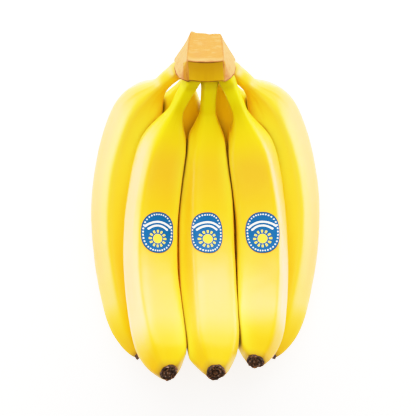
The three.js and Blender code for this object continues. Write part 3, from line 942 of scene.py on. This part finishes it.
def crown_material(settings):
    """Cut banana crown: matt pale flesh with tan fibres, darker torn strips, edges browned by
    drying, a painted shadow line under the lip, and smooth golden skin on the uncut sides with
    painted shade towards its top. The fibres are drawn 2 to 3 mm apart, because real ones are
    too fine to show, on patches of 10 mm."""
    material, tree, shader = new_material("cut banana crown, dried")
    own = add_node(tree, "ShaderNodeAttribute", attribute_name="own").outputs["Vector"]
    skin, wedge, edge, top = (
        add_node(tree, "ShaderNodeAttribute", attribute_name=name).outputs["Fac"]
        for name in ("skin", "wedge", "edge", "top")
    )
    height = add_node(tree, "ShaderNodeSeparateXYZ", {"Vector": own}).outputs["Y"]
    stretched, upright = (
        add_node(tree, "ShaderNodeMapping", {"Vector": own, "Scale": scale}).outputs["Vector"]
        for scale in ((0.5, 1.2, 1.6), (1.0, 0.1, 1.0))
    )
    fibre, patch, streak = (
        add_node(
            tree, "ShaderNodeTexNoise", {"Vector": where, "Scale": scale, "Detail": detail}
        ).outputs["Fac"]
        for where, scale, detail in (
            (stretched, 1 / 0.0035, 5.0), (own, 1 / 0.010, 4.0), (upright, 1 / 0.002, 3.0),
        )
    )

    heart = layered(tree, settings.heart, (
        (fibre, (0.5, 0.35), 0.55, settings.cut), (patch, (0.5, 0.75), 0.6, settings.fibre),
    ))
    torn = layered(tree, settings.torn, ((streak, (0.45, 0.75), 0.6, settings.edge),))
    golden = layered(tree, settings.skin, (
        # Painted shade towards the top of the crown's skin.
        (height, (0.0, 0.017), 1.0, settings.shaded_skin),
        (streak, (0.4, 0.7), 0.25, settings.shaded_skin),
    ))
    # The edge share holds the browned edges and the painted shadow line under the lip.
    dry = add_node(tree, "ShaderNodeMapRange", (edge, 0.25, 0.95), **SOFT).outputs["Result"]
    uneven = add_node(tree, "ShaderNodeMapRange", (patch, 0.3, 0.6, 0.45, 0.95), **SOFT)
    dried = add_node(
        tree, "ShaderNodeMath", (dry, uneven.outputs["Result"]), operation="MULTIPLY"
    ).outputs[0]
    colours = layered(tree, settings.cut, (
        (fibre, (0.45, 0.75), 0.7, settings.fibre),
        (top, None, 1.0, heart),
        (wedge, None, 1.0, torn),
        (skin, (0.3, 0.7), 1.0, golden),
        (dried, None, 1.0, settings.edge),
    ))
    bump = add_node(
        tree, "ShaderNodeBump", {"Height": fibre, "Strength": 0.35, "Distance": 0.0005}
    ).outputs["Normal"]
    tree.links.new(colours, shader.inputs["Base Color"])
    rough = add_node(tree, "ShaderNodeMapRange", (skin, 0.3, 0.7, 0.8, 0.5), **SOFT)
    tree.links.new(rough.outputs["Result"], shader.inputs["Roughness"])
    tree.links.new(bump, shader.inputs["Normal"])
    shader.inputs["Specular IOR Level"].default_value = 0.15
    return material


# ------------------------------------------------------------ the flower scars


def build_scar(name, finger, settings, material):
    """A dry stub: a turned profile with a raised rim and two rings inside. Its radius and height
    wander as sums of sines round it, stronger on the rim, where one torn horn stands up, and
    its crumbs are folded sines, which have sharp crests."""
    random = np.random.default_rng(sorted(FINGERS).index(name) + SCAR_SEED)
    profile = np.array(SCAR_PROFILE)
    rows = np.linspace(0, 1, SCAR_ROWS)[:, None]
    known = np.linspace(0, 1, len(profile))
    radius = np.interp(rows, known, profile[:, 0])
    height = np.interp(rows, known, profile[:, 1])
    around = np.linspace(0, 360, SCAR_COLUMNS, endpoint=False)[None, :]
    angle = np.radians(around)
    rim = bell(rows - RIM_PLACE, RIM_WIDTH)
    ragged = np.zeros((SCAR_ROWS, SCAR_COLUMNS))
    for turns, strength in RAGGED_SINES:
        phase, drift = random.uniform(0, 2 * math.pi, 2)
        ragged = ragged + strength * np.sin(turns * angle + phase + drift * rows)
    crumbs = np.zeros_like(ragged)
    for turns, waves, strength in CRUMB_SINES:
        phase, shift = random.uniform(0, 2 * math.pi, 2)
        twisted = turns * angle + phase + 2 * np.sin(waves * rows + shift)
        crumbs += strength * (0.6 - np.abs(np.sin(twisted / 2 + 1.5 * np.sin(3 * angle))))
    size = settings.ragged / MM
    horn = rim * bell(around - random.uniform(*HORN_PLACES), HORN_WIDTH)
    wide, crumbly, horned = WIDENED_BY
    radius = radius * (1 + wide * ragged) + (crumbly * crumbs + horned * horn) * size
    inside = rows > CRUMBS_FROM
    high, crumbly, horned = RAISED_BY
    height = height + size * (high * rim * ragged + crumbly * crumbs * inside + horned * horn)
    along = slanted(finger, finger["length"] + SCAR_SEAT + height, around, radius)
    points = around_line(finger, along, around, radius)
    look = {"raised": np.clip(height / RAISED_FULL, 0, 1), "crumbs": crumbs}
    piece = tube_mesh(f"flower_scar_{name}", points, look)
    place_piece(piece, material, f"blossom_end_{name}")


def scar_material(settings):
    """Dead flower tissue: dry and corky, so nearly black in its folds, paler on raised rings,
    partly as a painted highlight, with a painted greyish glint on the highest crumbs and a grain of
    1.6 mm."""
    material, tree, shader = new_material("dried flower scar, corky")
    raised, crumbs = (
        add_node(tree, "ShaderNodeAttribute", attribute_name=name).outputs["Fac"]
        for name in ("raised", "crumbs")
    )
    place = add_node(tree, "ShaderNodeTexCoord").outputs["Object"]
    grain = add_node(
        tree, "ShaderNodeTexNoise", {"Vector": place, "Scale": 1 / 0.0016, "Detail": 4.0}
    ).outputs["Fac"]
    ring, crumb, glint = (
        add_node(tree, "ShaderNodeMapRange", ends, **SOFT).outputs["Result"]
        for ends in ((raised, 0.3, 0.85), (crumbs, -0.2, 0.6, 0.1, 1.0), (grain, 0.5, 0.68))
    )
    high = add_node(tree, "ShaderNodeMath", (ring, crumb), operation="MULTIPLY").outputs[0]
    # Painted glint on the highest crumbs.
    bleached = add_node(tree, "ShaderNodeMath", (high, glint), operation="MULTIPLY").outputs[0]
    tissue = layered(tree, settings.dark, (
        (high, None, 1.0, settings.light), (bleached, None, 1.0, settings.glint),
    ))
    bump = add_node(
        tree, "ShaderNodeBump", {"Height": grain, "Strength": 0.7, "Distance": 0.0005}
    ).outputs["Normal"]
    tree.links.new(tissue, shader.inputs["Base Color"])
    tree.links.new(bump, shader.inputs["Normal"])
    shader.inputs["Roughness"].default_value = 0.6
    shader.inputs["Specular IOR Level"].default_value = 0.3
    return material


# ------------------------------------------------------------ the labels


def label_inks(across, up):
    """How much yellow and white ink lies at a place on the label, in millimetres from its middle.

    A sun is a disc with rays where a cosine of the angle round it is high; over it stand two
    arcs of circles, and a row of dots follows the label's edge at equal angles.
    """
    apart = np.hypot(across, up - SUN_HEIGHT)
    angle = np.arctan2(up - SUN_HEIGHT, across)
    rays = (np.cos(RAYS * angle) > RAY_NARROWNESS) & (apart > RAYS_FROM) & (apart < RAYS_TO)
    yellow = (apart < SUN_RADIUS) | rays
    above = np.abs(angle - math.pi / 2) < math.radians(ARC_SPREAD)
    inner, outer = (above & (np.abs(apart - radius) < ARC_HALF_WIDTH) for radius in ARC_RADII)
    edge = np.arctan2(up / LABEL_SIZE[1], across / LABEL_SIZE[0])
    step = 2 * math.pi / DOTS
    nearest = np.round(edge / step) * step
    filled = superellipse(nearest) * DOT_RING
    dots = np.hypot(
        across - filled * LABEL_SIZE[0] * np.cos(nearest),
        up - filled * LABEL_SIZE[1] * np.sin(nearest),
    ) < DOT_RADIUS
    return yellow.astype(float), (inner | outer | dots).astype(float)


def superellipse(angle):
    """Reach in a direction of the curve where the powers of sine and cosine add up to 1."""
    total = np.abs(np.sin(angle)) ** LABEL_ROUNDNESS + np.abs(np.cos(angle)) ** LABEL_ROUNDNESS
    return total ** (-1 / LABEL_ROUNDNESS)


def build_label(name, finger, settings, peel, material):
    """A thin superellipse bent onto the skin: rings from its middle to its edge, then down to the
    skin. Its length is stretched to match the skin, which is shorter than the middle line here,
    and its width is an arc at the skin's distance from that line."""
    place, side = LABEL_PLACES[name]
    ends = over_skin(name, finger, peel, np.array([place - 1.0, place + 1.0]), np.full(2, side))
    stretch = 2 / np.linalg.norm(ends[1] - ends[0])
    top = np.linspace(LABEL_MIDDLE, 1, LABEL_ROWS)
    under = np.linspace(1, LABEL_MIDDLE, LABEL_UNDER_ROWS)
    reach = np.concatenate([top, [1 + LABEL_MIDDLE], under])[:, None]
    height = settings.lift / MM
    lift = np.concatenate([
        np.full(LABEL_ROWS, height), [height - PAPER_EDGE], np.full(LABEL_UNDER_ROWS, UNDER_PAPER),
    ])[:, None]
    spoke = np.linspace(0, 2 * math.pi, LABEL_COLUMNS, endpoint=False)[None, :]
    filled = reach * superellipse(spoke) / 2
    across = filled * LABEL_SIZE[0] * np.sin(spoke)
    down = filled * LABEL_SIZE[1] * np.cos(spoke)
    along = place + down * stretch
    girth = skin_distance(finger, along, side + finger["twist"])
    points = over_skin(name, finger, peel, along, side + np.degrees(across / girth), lift)
    yellow, white = label_inks(-across, -down)
    rim = np.broadcast_to(reach > 1 - LABEL_RIM, yellow.shape).astype(float)
    inks = {"yellow": yellow, "white": white, "rim": rim}
    piece = tube_mesh(f"paper_label_{name}", points, inks)
    place_piece(piece, material, f"label_{name}")


def label_material(settings):
    """Printed label: thin coated paper, so flat inks under a smooth, slightly glossy coat."""
    material, tree, shader = new_material("coated paper label, printed")
    yellow, white, rim = (
        add_node(tree, "ShaderNodeAttribute", attribute_name=name).outputs["Fac"]
        for name in ("yellow", "white", "rim")
    )
    inks = layered(tree, settings.field, (
        (yellow, None, 1.0, settings.sun),
        (white, None, 1.0, settings.white),
        (rim, None, 1.0, settings.rim),
    ))
    tree.links.new(inks, shader.inputs["Base Color"])
    shader.inputs["Roughness"].default_value = 0.38
    shader.inputs["Specular IOR Level"].default_value = 0.3
    return material


# ------------------------------------------------------------ operators


class BANANAS_OT_fruits(bpy.types.Operator):
    """Make the skins of the seven fruits, each with its stalk"""
    bl_idname = "bananas.fruits"
    bl_label = "Fruits"

    def execute(self, context):
        settings = context.scene.banana_peel
        material = peel_material(settings)
        for name, finger in FINGERS.items():
            build_fruit(name, finger, settings, material)
        return {"FINISHED"}


class BANANAS_OT_crown(bpy.types.Operator):
    """Make the cut crown that joins the stalks"""
    bl_idname = "bananas.crown"
    bl_label = "Crown"

    def execute(self, context):
        settings = context.scene.banana_crown
        build_crown(settings, crown_material(settings))
        return {"FINISHED"}


class BANANAS_OT_scars(bpy.types.Operator):
    """Make the dry flower scar at the tip of each fruit"""
    bl_idname = "bananas.scars"
    bl_label = "Flower scars"

    def execute(self, context):
        settings = context.scene.banana_scar
        material = scar_material(settings)
        for name, finger in FINGERS.items():
            build_scar(name, finger, settings, material)
        return {"FINISHED"}


class BANANAS_OT_labels(bpy.types.Operator):
    """Make the oval labels on the front fruits"""
    bl_idname = "bananas.labels"
    bl_label = "Labels"

    def execute(self, context):
        settings = context.scene.banana_label
        peel = context.scene.banana_peel
        material = label_material(settings)
        for name in LABEL_PLACES:
            build_label(name, FINGERS[name], settings, peel, material)
        return {"FINISHED"}


def add_area_light(name, place, size, aim, power, shines=True):
    """A rectangular light at a place in metres, turned to face another. One that doesn't shine
    lights a surface but leaves no gloss on it, as a light behind a polarising sheet does."""
    data = bpy.data.lights.new(name, "AREA")
    data.shape = "RECTANGLE"
    data.size, data.size_y = size
    data.energy = power
    light = bpy.data.objects.new(name, data)
    light.location = place
    direction = Vector(aim) - Vector(place)
    light.rotation_euler = direction.to_track_quat("-Z", "Y").to_euler()
    light.visible_camera = False
    light.visible_glossy = shines
    bpy.context.scene.collection.objects.link(light)
    return data


class BANANAS_OT_stage(bpy.types.Operator):
    """Make the floor, the lights, the sky and the camera"""
    bl_idname = "bananas.stage"
    bl_label = "Stage"

    def execute(self, context):
        settings = context.scene.banana_stage
        material, _tree, shader = new_material("plain pale floor, painted")
        shader.inputs["Base Color"].default_value = settings.floor
        shader.inputs["Roughness"].default_value = 0.8
        shader.inputs["Emission Color"].default_value = settings.floor
        shader.inputs["Emission Strength"].default_value = settings.glow
        half = FLOOR_HALF / MM
        corners = np.array([(-half, -half, 0), (half, -half, 0), (half, half, 0), (-half, half, 0)])
        floor = make_mesh("floor", corners, np.array([[0, 1, 2, 3]]), np.empty((0, 3), int))
        floor.data.materials.append(material)

        key = add_area_light("key", *KEY_LIGHT, LIT_PLACE, settings.key_power)
        key.color = settings.key_tint[:3]
        add_area_light("fill", *FILL_LIGHT, LIT_PLACE, settings.fill_power, False)
        add_area_light("top", *TOP_LIGHT, LIT_PLACE, settings.top_power, False)
        (x, y, z), size = SIDE_LIGHT
        for side in (-1, 1):
            add_area_light("side", (side * x, y, z), size, (0.0, y, z), settings.side_power)

        world = bpy.data.worlds.new("white sky")
        world.use_nodes = True
        background = world.node_tree.nodes["Background"]
        background.inputs["Color"].default_value = (1.0, 1.0, 1.0, 1.0)
        background.inputs["Strength"].default_value = settings.sky
        context.scene.world = world
        view = context.scene.view_settings
        view.view_transform = "Standard"
        view.use_curve_mapping = True
        view.curve_mapping.white_level = (TONE_WHITE, TONE_WHITE, TONE_WHITE)
        combined = view.curve_mapping.curves[3]
        for place, height in TONE_CURVE:
            combined.points.new(place, height)
        view.curve_mapping.update()

        lens = bpy.data.cameras.new("camera")
        lens.sensor_width = SENSOR_WIDTH
        lens.lens = lens.sensor_width * settings.camera_height / settings.field
        camera = bpy.data.objects.new("camera", lens)
        x, y, z = (value * MM for value in HAND_AT)
        camera.location = (x + CAMERA_OFFSET, y, z + settings.camera_height)
        context.scene.collection.objects.link(camera)
        context.scene.camera = camera
        return {"FINISHED"}


class BANANAS_PT_panel(bpy.types.Panel):
    """Buttons and settings for the hand of bananas"""
    bl_idname = "BANANAS_PT_panel"
    bl_label = "Hand of bananas"
    bl_space_type = "VIEW_3D"
    bl_region_type = "UI"
    bl_category = "Bananas"

    def draw(self, context):
        for operator, group in STEPS:
            self.layout.operator(operator.bl_idname)
            settings = getattr(context.scene, group)
            for key in settings.__annotations__:
                self.layout.prop(settings, key)


STEPS = (
    (BANANAS_OT_stage, "banana_stage"),
    (BANANAS_OT_fruits, "banana_peel"),
    (BANANAS_OT_crown, "banana_crown"),
    (BANANAS_OT_scars, "banana_scar"),
    (BANANAS_OT_labels, "banana_label"),
)
GROUPS = {
    "banana_stage": StageSettings,
    "banana_peel": PeelSettings,
    "banana_crown": CrownSettings,
    "banana_scar": ScarSettings,
    "banana_label": LabelSettings,
}


def register():
    for group in GROUPS.values():
        bpy.utils.register_class(group)
    for name, group in GROUPS.items():
        setattr(bpy.types.Scene, name, PointerProperty(type=group))
    for operator, _group in STEPS:
        bpy.utils.register_class(operator)
    bpy.utils.register_class(BANANAS_PT_panel)


def unregister():
    bpy.utils.unregister_class(BANANAS_PT_panel)
    for operator, _group in STEPS:
        bpy.utils.unregister_class(operator)
    for name, group in GROUPS.items():
        delattr(bpy.types.Scene, name)
        bpy.utils.unregister_class(group)


def main():
    """Makes the hand and its stage."""
    register()
    bpy.ops.bananas.stage()
    bpy.ops.bananas.fruits()
    bpy.ops.bananas.crown()
    bpy.ops.bananas.scars()
    bpy.ops.bananas.labels()


if __name__ == "__main__":
    main()
